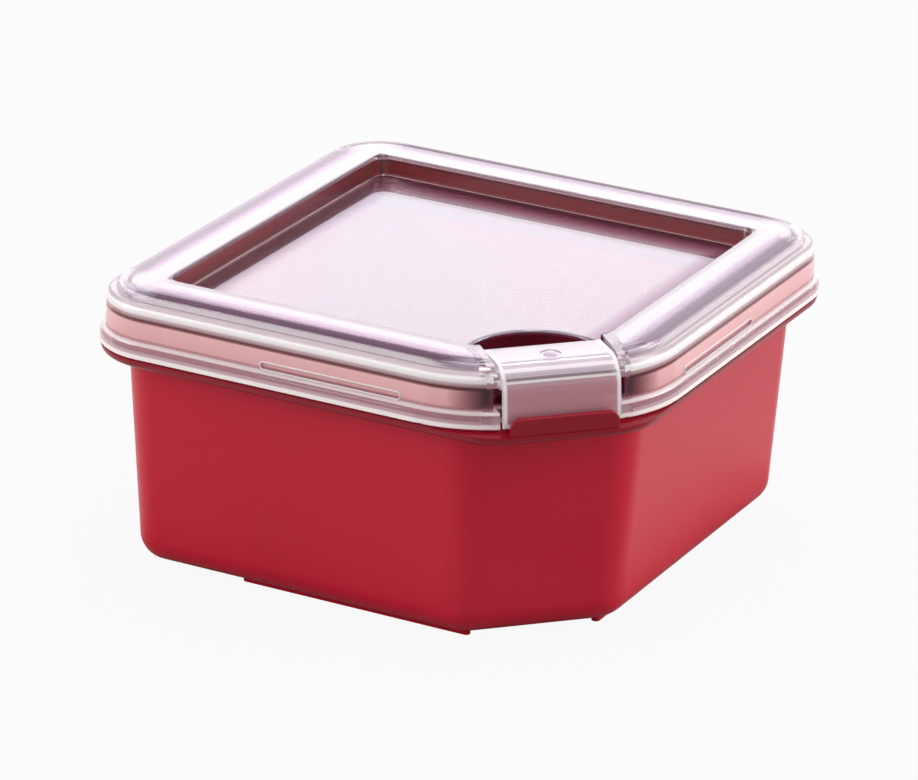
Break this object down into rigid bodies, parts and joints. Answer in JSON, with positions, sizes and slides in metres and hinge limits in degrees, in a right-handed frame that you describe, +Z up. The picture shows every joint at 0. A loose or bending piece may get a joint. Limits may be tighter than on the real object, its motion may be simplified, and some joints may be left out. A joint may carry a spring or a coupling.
{
  "type": "food storage container",
  "caption": "Square red food storage container with a clear recessed lid, a seal ring and a hinged clear corner latch over a catch lug.",
  "frame": {"origin": "centre of the base, on the plane of the foot ribs", "axes": "+Z up, +X and -Y out of the two sides that meet at the cut corner with the latch"},
  "size_m": [0.1598, 0.1598, 0.0845],
  "materials": {
    "tub_plastic": "glossy see-through red",
    "lid_plastic": "glossy clear with a faint lilac tint",
    "seal_rubber": "soft translucent white",
    "latch_plastic": "glossy clear"
  },
  "bodies": {
    "tub": {"tub": "tub_plastic"},
    "lid": {"lid": "lid_plastic", "seal_ring": "seal_rubber"},
    "latch": {"corner_latch": "latch_plastic"}
  },
  "joints": [
    {"name": "lid_lift", "type": "slide", "parent": "tub", "child": "lid", "axis": [0, 0, 1], "range_m": [0, 0.06]},
    {"name": "latch_hinge", "type": "hinge", "parent": "lid", "child": "latch", "pos_m": [0.05849, -0.05849, 0.0791], "axis": [0.7071, 0.7071, 0], "range_deg": [0, 25]}
  ]
}
